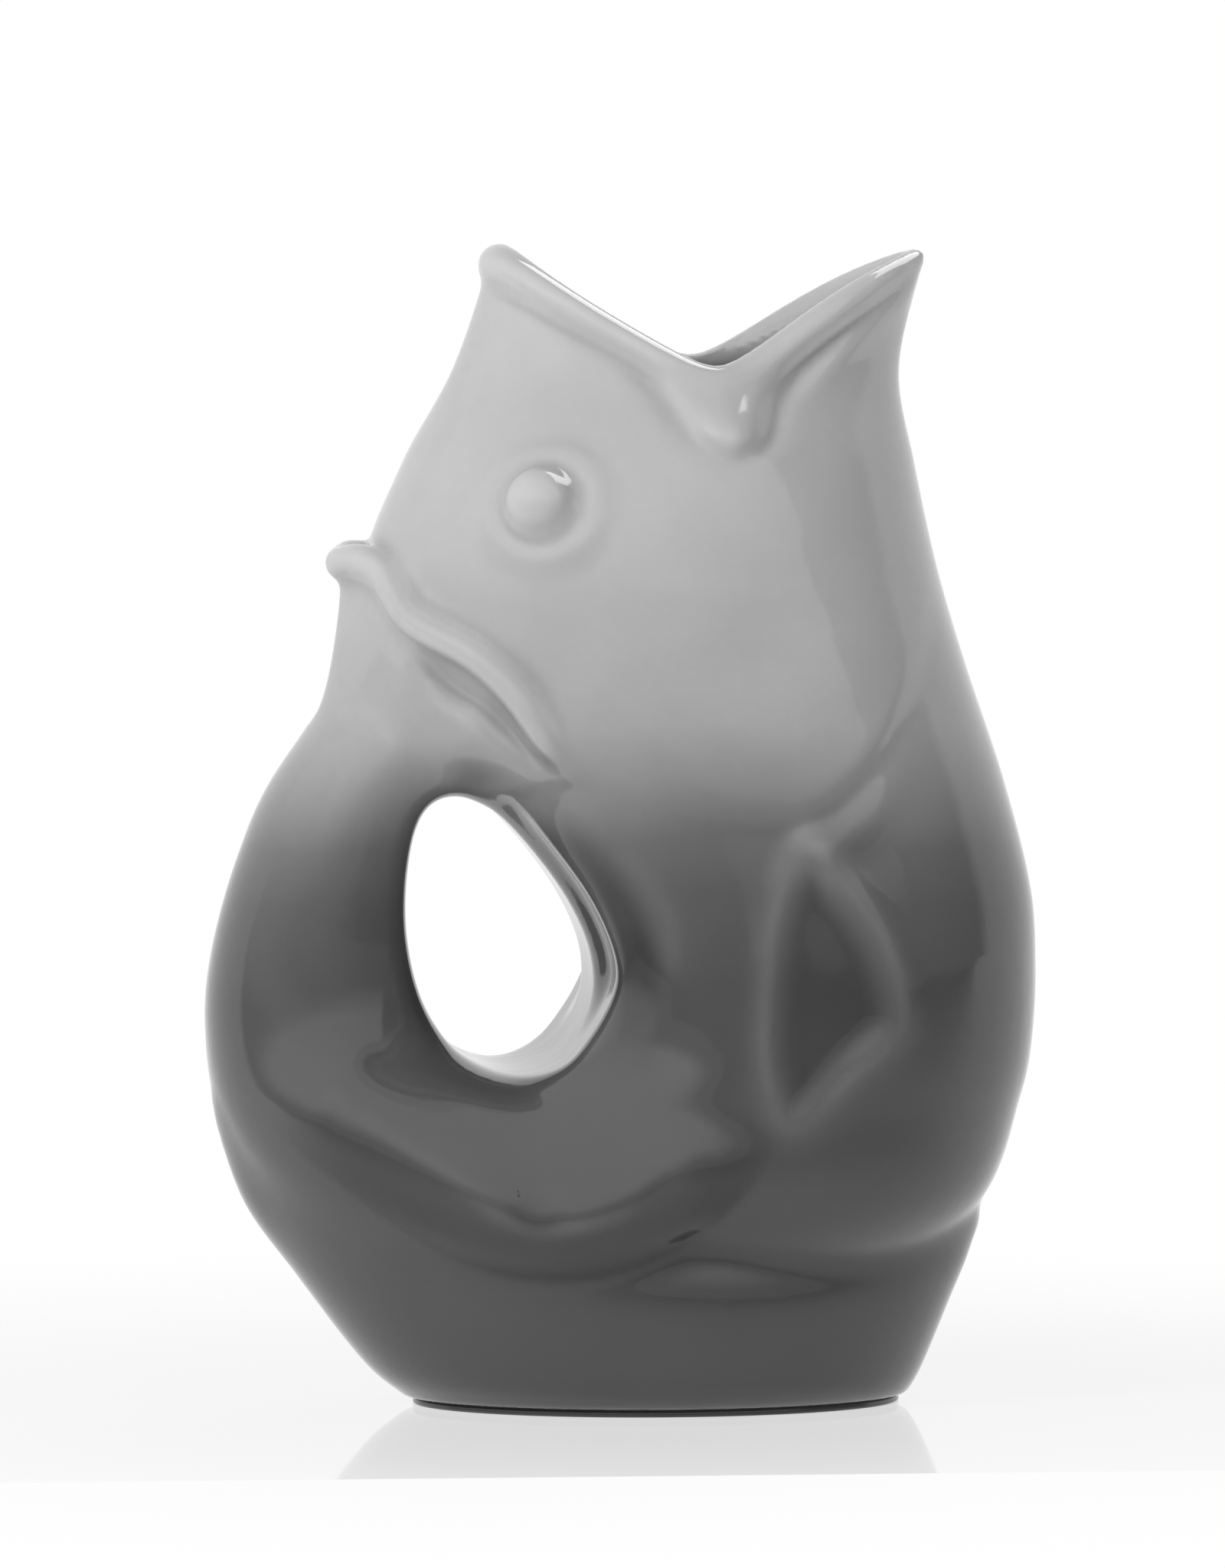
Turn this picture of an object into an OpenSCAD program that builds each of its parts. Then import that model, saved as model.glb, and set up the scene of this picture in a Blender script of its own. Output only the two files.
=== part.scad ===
// Gurgle jug: a hollow glazed jug in the shape of a fish that stands on its belly with its mouth open upward.
// Units are millimetres. +X points to the spout, +Y away from the viewer and +Z up.
// The origin is at the bottom centre of the whole jug, on the table.

/* [Mouth and spout] */
// Height of the spout tip above the table
spout_h = 257; // [247:1:267]
// Height of the back lip
lip_h = 256; // [246:1:266]
// Height of the lowest point of the mouth, at its corners
notch_h = 230; // [222:1:237]
// Reach of the spout tip in front of the centre
spout_reach = 68.5; // [62:0.5:75]
// Reach of the back lip behind the centre
lip_reach = 28.5; // [23:0.5:34]
// Distance of the mouth corners in front of the centre
corner_x = 19; // [12:1:26]
// Width across the mouth corners
mouth_w = 62; // [54:1:70]
// Radius of the rolled lip
lip_r = 3.2; // [2.8:0.1:4]
// Radius of the lip at the tip of the spout
spout_tip_r = 1.8; // [1.4:0.1:2.6]

/* [Head] */
// Height of the widest part of the head
head_z = 186; // [180:1:192]
// Reach of the head behind the centre
head_back = 57; // [53:1:60]
// Reach of the throat in front of the centre, at the height of the head
throat_reach = 71; // [66:1:76]
// Width of the head across its cheeks
head_w = 102; // [94:1:108]
// Height of the gill cover's lowest point
gill_h = 132; // [124:1:138]
// Depth of the step at the gill cover's edge
gill_step = 1.6; // [0.8:0.2:2.4]

/* [Belly] */
// Height of the widest part of the belly
belly_z = 98; // [94:1:102]
// Reach of the belly in front of the centre
belly_reach = 93; // [86:1:98]
// Distance of the belly's back behind the centre, beside the handle opening
belly_back = 9; // [5:1:13]
// Width of the belly
belly_w = 112; // [106:1:118]

/* [Base] */
// Length of the foot
foot_l = 112; // [104:1:120]
// Width of the foot
foot_w = 76; // [68:1:84]
// Distance of the foot's middle in front of the centre
foot_x = 8; // [4:1:12]
// Width of the unglazed foot ring
ring_w = 6; // [4:0.5:8]
// Distance of the foot ring inside the edge of the bowl
ring_inset = 1.5; // [1:0.5:3]
// Height of the foot ring below the bowl
ring_h = 1.5; // [1:0.5:4]
// Width of the bowl at its widest
bowl_w = 107; // [103:1:110]
// Height of the bowl's rim under the tail
bowl_back_h = 69; // [64:1:72]
// Height of the bowl's rim under the throat
bowl_front_h = 43; // [39:1:47]
// Thickness of the jug's floor
floor_t = 6; // [4:0.5:8]

/* [Tail] */
// Reach of the tail behind the centre
tail_reach = 93; // [90:1:96]
// Thickness of the tail beside the handle opening
tail_t = 45; // [40:1:50]
// Width of the tail at the same height
tail_w = 58; // [50:1:64]
// Thickness of the tail where the fluke begins
neck_t = 27; // [24:1:32]
// Width of the tail where the fluke begins
neck_w = 40; // [34:1:46]
// Height at which the fluke begins
neck_h = 146; // [142:1:150]
// Height of the top of the fluke
fluke_h = 191; // [187:1:195]
// Height of the fluke's lobes from their tips to the top of the fluke
fluke_drop = 48; // [44:1:52]
// Degrees that each lobe of the fluke wraps round the head
fluke_wrap = 54; // [48:1:60]
// Radius of the rolled edge round the fluke
fluke_edge_r = 2.6; // [2.2:0.1:3.2]

/* [Eyes and fins] */
// Distance of the eyes behind the centre
eye_x = 21; // [17:1:25]
// Height of the eyes
eye_z = 203; // [199:1:207]
// Radius of an eye's ball
eye_r = 8; // [6:0.5:10]
// Depth of an eye's middle below the skin
eye_sink = 3.5; // [2:0.5:4.5]
// Distance of a pectoral fin's top in front of the centre
fin_x = 36; // [30:1:42]
// Height of a pectoral fin's top
fin_z = 129; // [124:1:133]
// Length of a pectoral fin
fin_l = 62; // [54:1:68]
// Width of a pectoral fin
fin_w = 30; // [24:1:34]
// Radius of the bead round a pectoral fin
fin_bead_r = 2; // [1.4:0.1:2.6]
// How far a pectoral fin's web stands out of the skin
fin_web = 0.8; // [0.6:0.1:1.2]

/* [Walls] */
// Thickness of the fired wall
wall = 5; // [4:0.5:6]

/* [Hidden] */

columns = 64;
inner_columns = 32;
body_rows = 42;
inner_rows = 22;
bowl_rows = 14;
tail_rows = 26;
fluke_rows = 8;
fluke_steps = 14;
rim_steps = 48;
fin_steps = 36;
sphere_sides = 12;

glaze_light = [0.76, 0.76, 0.76];
glaze_mid = [0.5, 0.5, 0.5];
glaze_dark = [0.36, 0.36, 0.36];
bare_clay = [0.86, 0.84, 0.8];

// Levels of the jug's floor inside and of the bottom of the fish in the bowl
floor_z = ring_h + floor_t;
fish_bottom = floor_z + 12;
// How square the mouth's plan is behind its corners and towards the spout
lip_square = 2;
spout_square = 1.6;
// Share of a side of the mouth over which its corner is rounded
notch_round = 0.1;

// Height, back, widest place and front of the fish, its half width, and how square its back and front are
FISH = [
  [fish_bottom, 0, 25, 62, 0.3 * belly_w, 2, 2],
  [bowl_front_h + 2, -belly_back - 6, 30, belly_reach - 12.5, belly_w / 2 - 6, 2.4, 2.1],
  [belly_z - 28, -belly_back - 16, 33, belly_reach - 3, belly_w / 2 - 2, 2.4, 2.1],
  [belly_z - 16, -belly_back - 3, 34, belly_reach - 0.8, belly_w / 2 - 0.5, 2.4, 2.1],
  [belly_z, -belly_back, 34, belly_reach, belly_w / 2, 2.5, 2.1],
  [belly_z + 17, -belly_back - 6, 31, belly_reach - 1.2, belly_w / 2 - 0.7, 2.4, 2.1],
  [head_z - 46, -head_back + 24, 24, belly_reach - 7.5, head_w / 2 + 2.5, 2.4, 2.1],
  [head_z - 21, -head_back + 7.5, 14, throat_reach + 6.2, head_w / 2 + 1, 2.2, 2.05],
  [head_z, -head_back, 8, throat_reach, head_w / 2, 2.1, 2],
  [head_z + 24, -head_back + 8.2, 10, throat_reach - 5.2, head_w / 2 - 6, 2, 1.9],
  [notch_h + 1, -lip_reach - 9, corner_x, spout_reach - 6, mouth_w / 2, lip_square, 1.7],
  [spout_h, -lip_reach, corner_x, spout_reach, mouth_w / 2 - 4, lip_square, spout_square],
];

// Row up the bowl, its back edge and its front edge as x and z, and its half width
BOWL = [
  [0, foot_x - foot_l / 2, ring_h, foot_x + foot_l / 2, ring_h, foot_w / 2],
  [1, foot_x - foot_l / 2 - 9.5, ring_h + 8, foot_x + foot_l / 2 + 3.5, ring_h + 6, foot_w / 2 + 6],
  [2, -tail_reach + 20.5, bowl_back_h - 40, belly_reach - 19, bowl_front_h - 20, bowl_w / 2 - 6],
  [3, -tail_reach + 8, bowl_back_h - 22, belly_reach - 14.5, bowl_front_h - 9, bowl_w / 2 - 8.5],
  [4, -tail_reach + 2.5, bowl_back_h, belly_reach - 13, bowl_front_h, bowl_w / 2 - 16],
  [5, -tail_reach + 13, bowl_back_h + 3, belly_reach - 24, bowl_front_h + 8, bowl_w / 2 - 26],
];

// Row along the tail, its middle as x and z, half its thickness and half its width, and how square it is
TAIL = [
  [0, 30, 66, 32, 47, 2.6],
  [1, -18, 51, 22.5, 51, 3.4],
  [2, -tail_reach + 35.5, 63.5, 26, tail_w / 2 + 14, 2.8],
  [3, -tail_reach + tail_t / 2, belly_z - 5, tail_t / 2, tail_w / 2, 2.2],
  [4, -tail_reach + 26, belly_z + 25, (tail_t + neck_t) / 4, (tail_w + neck_w) / 4, 2],
  [5, -tail_reach + 36, neck_h, neck_t / 2, neck_w / 2, 2],
];
bore_end = 4.7;

// The fluke's rim from its top to the tip of a lobe: row, share of its wrap round the head, height, standing out
FLUKE_RIM = [
  [0, 0, fluke_h - 0.06 * fluke_drop, 5.5],
  [1, 0.18, fluke_h - 0.04 * fluke_drop, 3],
  [2, 0.38, fluke_h - 0.1 * fluke_drop, 0.8],
  [3, 0.52, fluke_h - 0.29 * fluke_drop, 0.5],
  [4, 0.71, fluke_h - 0.44 * fluke_drop, 0.5],
  [5, 0.9, fluke_h - 0.63 * fluke_drop, 0.5],
  [6, 0.98, fluke_h - 0.88 * fluke_drop, 0.5],
  [7, 1, fluke_h - fluke_drop, 0.5],
];
// The fluke's lower edge from the tip of a lobe to the middle of the fish's back, in the same columns
FLUKE_UNDER = [
  [0, 1, fluke_h - fluke_drop, 0.5],
  [1, 0.6, fluke_h - 1.07 * fluke_drop, 0.5],
  [2, 0, fluke_h - 1.09 * fluke_drop, 0.5],
];
fluke_hollow = 0.5;

// A pectoral fin's outline seen from the side, from its top round its back to its tip and up its front
FIN = [
  [0, fin_x, fin_z],
  [1, fin_x - 0.2 * fin_w, fin_z - 0.21 * fin_l],
  [2, fin_x - 0.3 * fin_w, fin_z - 0.5 * fin_l],
  [3, fin_x - 0.3 * fin_w, fin_z - 0.8 * fin_l],
  [4, fin_x - 0.1 * fin_w, fin_z - fin_l],
  [5, fin_x + 0.35 * fin_w, fin_z - 0.83 * fin_l],
  [6, fin_x + 0.7 * fin_w, fin_z - 0.65 * fin_l],
  [7, fin_x + 0.57 * fin_w, fin_z - 0.36 * fin_l],
  [8, fin_x + 0.12 * fin_w, fin_z - 0.06 * fin_l],
  [9, fin_x, fin_z],
];

function lerp(a, b, t) = a + (b - a) * t;
function smooth_step(low, high, v) =
  let (t = min(max((v - low) / (high - low), 0), 1)) t * t * (3 - 2 * t);
function middle(points) =
  [for (k = [0:2]) [for (p = points) p[k]] * [for (p = points) 1]] / len(points);

// Row after which the place u comes
function row_before(rows, u, i = 0) =
  i >= len(rows) - 2 || u < rows[i + 1][0] ? i : row_before(rows, u, i + 1);
// Slope of the smooth curve at a row, from its neighbours
function row_slope(rows, i) =
  let (a = rows[max(i - 1, 0)], b = rows[min(i + 1, len(rows) - 1)]) (b - a) / (b[0] - a[0]);
// Values at the place u on the smooth curve through the rows
function along(rows, u) =
  let (
    i = row_before(rows, u),
    p = rows[i],
    q = rows[i + 1],
    d = q[0] - p[0],
    t = (u - p[0]) / d
  )
  p * (2 * t ^ 3 - 3 * t ^ 2 + 1)
    + row_slope(rows, i) * d * (t ^ 3 - 2 * t ^ 2 + t)
    + q * (3 * t ^ 2 - 2 * t ^ 3)
    + row_slope(rows, i + 1) * d * (t ^ 3 - t ^ 2);
// Direction of travel, as x and z, at the place u on a path whose rows hold x and z after the row's number
function heading(rows, u) =
  let (step = along(rows, u + 0.02) - along(rows, u - 0.02))
  [step[1], step[2]] / norm([step[1], step[2]]);

// Height of the mouth's rim at an angle round it: two nearly straight slopes from the rounded corners
function rim_z(angle) =
  let (
    front = cos(angle) > 0,
    share = abs(cos(angle)) ^ (2 / (front ? spout_square : lip_square)),
    up = (sqrt(share ^ 2 + notch_round ^ 2) - notch_round) / (sqrt(1 + notch_round ^ 2) - notch_round)
  )
  lerp(notch_h, front ? spout_h : lip_h, up);

// Height of the gill cover's edge, which is low on the cheek and climbs to the throat and the fluke
function gill_z(x) = gill_h + (x > fin_x - 2 ? 0.045 : 0.005) * (x - fin_x + 2) ^ 2;
// How far the cheek and the swelling at the mouth's corner stand out
function relief(x, z) =
  gill_step * smooth_step(-2.5, 2.5, z - gill_z(x)) * (1 - smooth_step(10, 40, z - gill_z(x)))
    + 2 * exp(-((x - corner_x - 4) ^ 2 + (z - notch_h + 5) ^ 2) / 70);

// Point on the fish's skin at an angle round it and a height, drawn in by a thickness
function fish_point(angle, z, inset) =
  let (
    v = along(FISH, z),
    front = cos(angle) > 0,
    square = front ? v[6] : v[5],
    reach = (front ? v[3] - v[2] : v[2] - v[1]) - inset,
    x = v[2] + (front ? 1 : -1) * reach * abs(cos(angle)) ^ (2 / square),
    half = v[4] + (inset > 0 ? 0 : relief(x, z)) - inset
  )
  [x, sign(sin(angle)) * half * abs(sin(angle)) ^ (2 / square), z];
// Point on the fish's skin at a place seen from the side, standing out by a little
function skin_point(x, z, side, proud) =
  let (
    v = along(FISH, z),
    front = x > v[2],
    square = front ? v[6] : v[5],
    share = min(abs(x - v[2]) / (front ? v[3] - v[2] : v[2] - v[1]), 1)
  )
  [x, side * ((v[4] + relief(x, z)) * (1 - share ^ square) ^ (1 / square) + proud), z];

// Rings of the fish from its bottom up to the rim of its mouth
function fish_rings(bottom, inset, rows, count) = [
  for (i = [0:rows]) [
    for (j = [0:count - 1])
      let (angle = 360 * (j + 0.5) / count) fish_point(angle, lerp(bottom, rim_z(angle), i / rows), inset)
  ]
];
// Rings of the bowl, which lean up towards the tail
function bowl_rings(inset, first, last) = [
  for (i = [0:bowl_rows])
    let (v = along(BOWL, lerp(first, last, i / bowl_rows)))
    [
      for (j = [0:inner_columns - 1])
        let (angle = 360 * (j + 0.5) / inner_columns, share = (1 + cos(angle)) / 2)
        [
          lerp(v[1] + inset, v[3] - inset, share),
          (v[5] - inset) * sin(angle),
          max(lerp(v[2], v[4], share), inset > 0 ? floor_z : 0)
        ]
    ]
];
// Ring across the tail at the place u, as a loop that starts on the outside of the curl
function tail_ring(u, inset, count) =
  let (v = along(TAIL, u), run = heading(TAIL, u), power = 2 / v[5])
  [
    for (j = [0:count - 1])
      let (
        angle = 360 * j / count,
        across = -(v[3] - inset) * sign(cos(angle)) * abs(cos(angle)) ^ power,
        aside = (v[4] - inset) * sign(sin(angle)) * abs(sin(angle)) ^ power
      )
      [v[1] + across * run[1], aside, v[2] - across * run[0]]
  ];
function tail_rings(inset, last) =
  [for (i = [tail_rows:-1:0]) tail_ring(last * i / tail_rows, inset, inner_columns)];

// Point on the fluke's rim or lower edge, at a share of the way along it on one side of the fish
function fluke_point(rows, share, side) =
  let (v = along(rows, share * (len(rows) - 1)), p = fish_point(180 - fluke_wrap * v[1], v[2], -v[3]))
  [p[0], side * p[1], p[2]];
// Loop round the fluke where it meets the fish: down one lobe, back below and up the other
function fluke_loop() = concat(
  [for (i = [0:fluke_steps - 1]) fluke_point(FLUKE_RIM, i / fluke_steps, 1)],
  [for (i = [0:fluke_steps - 1]) fluke_point(FLUKE_UNDER, i / fluke_steps, 1)],
  [for (i = [0:fluke_steps - 1]) fluke_point(FLUKE_UNDER, 1 - i / fluke_steps, -1)],
  [for (i = [0:fluke_steps - 1]) fluke_point(FLUKE_RIM, 1 - i / fluke_steps, -1)]
);
// Rings of the fluke from inside the head out to its rim and in to the tail's end, dished on the way
function fluke_rings() =
  let (
    neck = tail_ring(5, 0, 4 * fluke_steps),
    rim = fluke_loop(),
    swing = middle(rim) - middle(neck),
    heart = middle(rim) + [head_back / 5, 0, 0]
  )
  concat(
    [[for (p = rim) lerp(p, heart, 0.25)]],
    [
      for (i = [0:fluke_rows])
        let (u = 1 - i / fluke_rows)
        [
          for (j = [0:len(neck) - 1])
            lerp(neck[j], rim[j], u) - (rim[j] - neck[j] - swing) * fluke_hollow * u * (1 - u)
        ]
    ]
  );

// A pectoral fin's outline drawn in towards its middle, on the skin or standing out of it
function fin_loop(side, size, proud) =
  let (heart = middle(FIN))
  [
    for (i = [0:fin_steps])
      let (v = along(FIN, 9 * i / fin_steps))
      skin_point(lerp(heart[1], v[1], size), lerp(heart[2], v[2], size), side, proud)
  ];

// Closed solid through rings of equally many points, with a lid from each end ring to a point
module loft(rings, lid) {
  count = len(rings[0]);
  last = len(rings) - 1;
  points = concat([for (ring = rings) each ring], [middle(rings[0]), is_undef(lid) ? middle(rings[last]) : lid]);
  base = count * (last + 1);
  faces = concat(
    [
      for (i = [0:last - 1], j = [0:count - 1])
        let (a = i * count + j, b = i * count + (j + 1) % count)
        each [[a, a + count, b + count], [a, b + count, b]]
    ],
    [for (j = [0:count - 1]) [base, j, (j + 1) % count]],
    [for (j = [0:count - 1]) [base + 1, last * count + (j + 1) % count, last * count + j]]
  );
  polyhedron(points, faces, convexity = 6);
}

// Rod with round ends along a chain of points, with a radius at each point
module bead(points, radii) {
  for (i = [0:len(points) - 2])
    hull() for (k = [i, i + 1]) translate(points[k]) sphere(radii[k], $fn = sphere_sides);
}

module fish_outside() {
  loft(fish_rings(fish_bottom, 0, body_rows, columns), [corner_x, 0, notch_h]);
}
module fish_inside() {
  rings = fish_rings(fish_bottom + wall, wall, inner_rows, inner_columns);
  top = [for (p = rings[inner_rows]) [p[0], p[1], spout_h + 2 * lip_r]];
  loft(concat(rings, [top]));
}
module bowl_outside() { loft(bowl_rings(0, 0, 5)); }
module bowl_inside() { loft(bowl_rings(wall, 0.6, 5)); }
module tail_outside() { loft(tail_rings(0, 5)); }
module tail_inside() { loft(tail_rings(wall, bore_end)); }
module hollow() {
  fish_inside();
  bowl_inside();
  tail_inside();
}

// The flared bowl that carries the fish, with the jug's floor
module base_bowl() {
  color(glaze_dark) difference() {
    bowl_outside();
    hollow();
  }
}

// The dry ring that the jug stands on
module foot_ring() {
  color(bare_clay) linear_extrude(ring_h) difference() {
    polygon(foot_outline(ring_inset));
    polygon(foot_outline(ring_inset + ring_w));
  }
}
function foot_outline(inset) = [
  for (j = [0:columns - 1])
    let (angle = 360 * j / columns)
    [foot_x + (foot_l / 2 - inset) * cos(angle), (foot_w / 2 - inset) * sin(angle)]
];

// The belly, the head and the open mouth with its rolled lip
module body_shell() {
  angles = [for (j = [0:rim_steps]) 360 * j / rim_steps];
  rim = [for (angle = angles) fish_point(angle, rim_z(angle), wall / 2)];
  radii = [for (angle = angles) lerp(lip_r, spout_tip_r, max(cos(angle), 0) ^ 6)];
  color(glaze_light) difference() {
    union() {
      fish_outside();
      bead(rim, radii);
    }
    bowl_outside();
    hollow();
  }
}

// The hollow tail that curls up behind as the handle
module tail_handle() {
  color(glaze_mid) difference() {
    tail_outside();
    fish_outside();
    bowl_outside();
    hollow();
  }
}

// The fluke that closes the tail and wraps the back of the head
module tail_fin() {
  edge = [for (i = [-fluke_steps:fluke_steps]) fluke_point(FLUKE_RIM, abs(i) / fluke_steps, i < 0 ? -1 : 1)];
  color(glaze_mid) difference() {
    union() {
      loft(fluke_rings());
      bead(edge, [for (p = edge) fluke_edge_r]);
    }
    fish_outside();
    tail_outside();
  }
}

module eye(side) {
  color(glaze_light) difference() {
    translate(skin_point(-eye_x, eye_z, side, -eye_sink)) sphere(eye_r, $fn = columns);
    fish_outside();
  }
}
module left_eye() { eye(1); }
module right_eye() { eye(-1); }

module fin(side) {
  web = concat(
    [for (size = [0.2:0.2:1]) fin_loop(side, size, -1)],
    [for (size = [1:-0.2:0.2]) fin_loop(side, size, fin_web)]
  );
  color(glaze_mid) difference() {
    union() {
      bead(fin_loop(side, 1, 0), [for (i = [0:fin_steps]) fin_bead_r]);
      loft(side < 0 ? web : [for (i = [len(web) - 1:-1:0]) web[i]]);
    }
    fish_outside();
  }
}
module left_fin() { fin(1); }
module right_fin() { fin(-1); }

base_bowl();
foot_ring();
body_shell();
tail_handle();
tail_fin();
left_eye();
right_eye();
left_fin();
right_fin();
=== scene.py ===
"""A glazed gurgle jug in the shape of a fish, built as one smooth casting and cut into its named pieces."""

import math

import bmesh
import bpy
import numpy as np
import openvdb
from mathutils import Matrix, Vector


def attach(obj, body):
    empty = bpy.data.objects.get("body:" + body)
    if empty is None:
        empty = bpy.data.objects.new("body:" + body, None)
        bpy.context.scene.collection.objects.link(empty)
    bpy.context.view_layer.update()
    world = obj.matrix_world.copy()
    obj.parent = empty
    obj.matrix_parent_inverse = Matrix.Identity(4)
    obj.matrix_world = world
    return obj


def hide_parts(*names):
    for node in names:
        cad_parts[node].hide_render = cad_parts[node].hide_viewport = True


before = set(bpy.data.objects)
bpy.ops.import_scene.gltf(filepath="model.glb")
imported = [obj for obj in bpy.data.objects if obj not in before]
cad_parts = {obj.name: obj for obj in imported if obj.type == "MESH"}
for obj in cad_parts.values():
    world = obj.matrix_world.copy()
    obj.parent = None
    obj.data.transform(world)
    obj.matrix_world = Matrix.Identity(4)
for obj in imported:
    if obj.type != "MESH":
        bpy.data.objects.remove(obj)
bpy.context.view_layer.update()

# Sizes of the jug in millimetres, in the frame of the CAD model: +X to the spout, +Z up.
SPOUT_H = 257.0
LIP_H = 256.0
NOTCH_H = 230.0
SPOUT_REACH = 68.5
LIP_REACH = 28.5
CORNER_X = 19.0
MOUTH_W = 62.0
LIP_R = 3.2
SPOUT_TIP_R = 1.8
HEAD_Z = 186.0
HEAD_BACK = 57.0
THROAT_REACH = 71.0
HEAD_W = 102.0
BELLY_Z = 98.0
BELLY_REACH = 93.0
BELLY_BACK = 9.0
BELLY_W = 112.0
FOOT_L = 112.0
FOOT_W = 76.0
FOOT_X = 8.0
RING_W = 6.0
RING_INSET = 1.5
RING_H = 1.5
BOWL_W = 107.0
BOWL_BACK_H = 69.0
BOWL_FRONT_H = 43.0
FLOOR_T = 6.0
TAIL_REACH = 93.0
TAIL_T = 45.0
TAIL_W = 58.0
NECK_T = 27.0
NECK_W = 40.0
NECK_H = 146.0
FLUKE_H = 191.0
FLUKE_WRAP = 54.0
FLUKE_EDGE_R = 2.6
EYE = (-21.0, 203.0)
EYE_R = 8.6
EYE_SINK = 3.4
WALL = 5.0
THIN_WALL = 3.6
FLOOR_Z = RING_H + FLOOR_T
FISH_BOTTOM = FLOOR_Z + 12.0

# Height, back, widest place, front and half width of the fish, and how square its back and its front are.
FISH = np.array([
    (FISH_BOTTOM, 6, 25, 54, 0.2 * BELLY_W, 2, 2),
    (BOWL_FRONT_H + 2, -BELLY_BACK - 6, 30, BELLY_REACH - 12.5, BELLY_W / 2 - 6, 2.4, 2.1),
    (BELLY_Z - 28, -BELLY_BACK - 16, 33, BELLY_REACH - 3, BELLY_W / 2 - 2, 2.4, 2.1),
    (BELLY_Z - 16, -BELLY_BACK - 3, 34, BELLY_REACH - 0.8, BELLY_W / 2 - 0.5, 2.3, 2.1),
    (BELLY_Z, -BELLY_BACK, 34, BELLY_REACH - 0.1, BELLY_W / 2, 2.3, 2.1),
    (BELLY_Z + 17, -BELLY_BACK - 6, 31, BELLY_REACH - 1.2, BELLY_W / 2 - 0.7, 2.3, 2.1),
    (HEAD_Z - 46, -HEAD_BACK + 24, 24, BELLY_REACH - 7.5, HEAD_W / 2 + 2.5, 2.4, 2.1),
    (HEAD_Z - 21, -HEAD_BACK + 7.5, 14, THROAT_REACH + 6.2, HEAD_W / 2 + 1, 2.2, 2.05),
    (HEAD_Z, -HEAD_BACK, 8, THROAT_REACH, HEAD_W / 2, 2.1, 2),
    (HEAD_Z + 24, -HEAD_BACK + 8.2, 10, THROAT_REACH - 5.2, HEAD_W / 2 - 6, 2, 1.9),
    (NOTCH_H + 1, -LIP_REACH - 9, CORNER_X, SPOUT_REACH - 6, MOUTH_W / 2, 2, 1.7),
    (SPOUT_H, -LIP_REACH, CORNER_X, SPOUT_REACH, MOUTH_W / 2 - 4, 2, 1.6),
], float)
# Row up the bowl, its back and front edges as x and z, and its half width.
BOWL = np.array([
    (0, FOOT_X - FOOT_L / 2, RING_H, FOOT_X + FOOT_L / 2, RING_H, FOOT_W / 2),
    (1, FOOT_X - FOOT_L / 2 - 9.5, RING_H + 8, FOOT_X + FOOT_L / 2 + 3.5, RING_H + 6, FOOT_W / 2 + 6),
    (2, -TAIL_REACH + 20.5, BOWL_BACK_H - 40, BELLY_REACH - 19, BOWL_FRONT_H - 20, BOWL_W / 2 - 6),
    (3, -TAIL_REACH + 8, BOWL_BACK_H - 22, BELLY_REACH - 14.5, BOWL_FRONT_H - 9, BOWL_W / 2 - 8.5),
    (4, -TAIL_REACH + 2.5, BOWL_BACK_H, BELLY_REACH - 13, BOWL_FRONT_H, BOWL_W / 2 - 16),
    (5, -TAIL_REACH + 13, BOWL_BACK_H + 3, BELLY_REACH - 24, BOWL_FRONT_H + 8, BOWL_W / 2 - 26),
], float)
# Row along the tail, its middle as x and z, half its thickness, half its width, and how square it is.
TAIL = np.array([
    (0, 30, 66, 32, 47, 2.6),
    (1, -18, 51.5, 24, 54.4, 2.5),
    (2, -TAIL_REACH + 35.5, 62.5, 26, TAIL_W / 2 + 14, 2.4),
    (3, -TAIL_REACH + TAIL_T / 2, BELLY_Z - 11, TAIL_T / 2, TAIL_W / 2, 2.2),
    (4, -TAIL_REACH + 26.6, BELLY_Z + 25, (TAIL_T + NECK_T) / 4, (TAIL_W + NECK_W) / 4, 2),
    (5, -TAIL_REACH + 36, NECK_H, NECK_T / 2 - 0.6, NECK_W / 2, 2),
], float)
# The fluke's rim from its top to the tip of a lobe: row, share of its wrap, height, standing out.
FLUKE_RIM = np.array([
    (0, 0, FLUKE_H - 3, 5.5),
    (1, 0.18, FLUKE_H - 2, 3),
    (2, 0.38, FLUKE_H - 5, 0.8),
    (3, 0.52, FLUKE_H - 14, 0.5),
    (4, 0.79, FLUKE_H - 21, 0.5),
    (5, 0.93, FLUKE_H - 30, 0.5),
    (6, 0.98, FLUKE_H - 42, 0.5),
    (7, 1, FLUKE_H - 48, 0.5),
], float)
# The fluke's underside from the tip of a lobe to its middle, in the same way.
FLUKE_UNDER = np.array([
    (0, 1, FLUKE_H - 48, 0.5),
    (1, 0.6, FLUKE_H - 51.5, 0.5),
    (2, 0, FLUKE_H - 52.5, 0.5),
], float)
# How far the fluke is drawn in between its neck and its rim, in its middle and at the tips of its lobes.
FLUKE_HOLLOW = (0.25, 0.8)
# Hollow between the fluke's rim and the neck of the tail.
DISH = [(-49, 172.5), (-47, 163), (-42, 157), (-35.5, 154), (-28.8, 148.5), (-21, 143.5), (-23, 150),
        (-27.5, 157.5), (-33.7, 163.3), (-41.3, 168.7)]
# Line past the fluke's rolled edge, from its top to its tip, where the fluke's piece ends.
FLUKE_SEAM = [(-72, 196), (-60, 192), (-50, 180), (-40, 174.5), (-28, 168), (-19, 158), (-12, 146),
              (-8, 134)]
# Edge of the gill cover from the fluke to the throat, as x and height.
GILL = [(-34, 153), (-20, 146), (-4, 140), (14, 135.5), (28, 134), (38, 135.5), (45, 140), (52, 147),
        (58, 156), (63, 166), (67, 180), (69, 192)]
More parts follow.
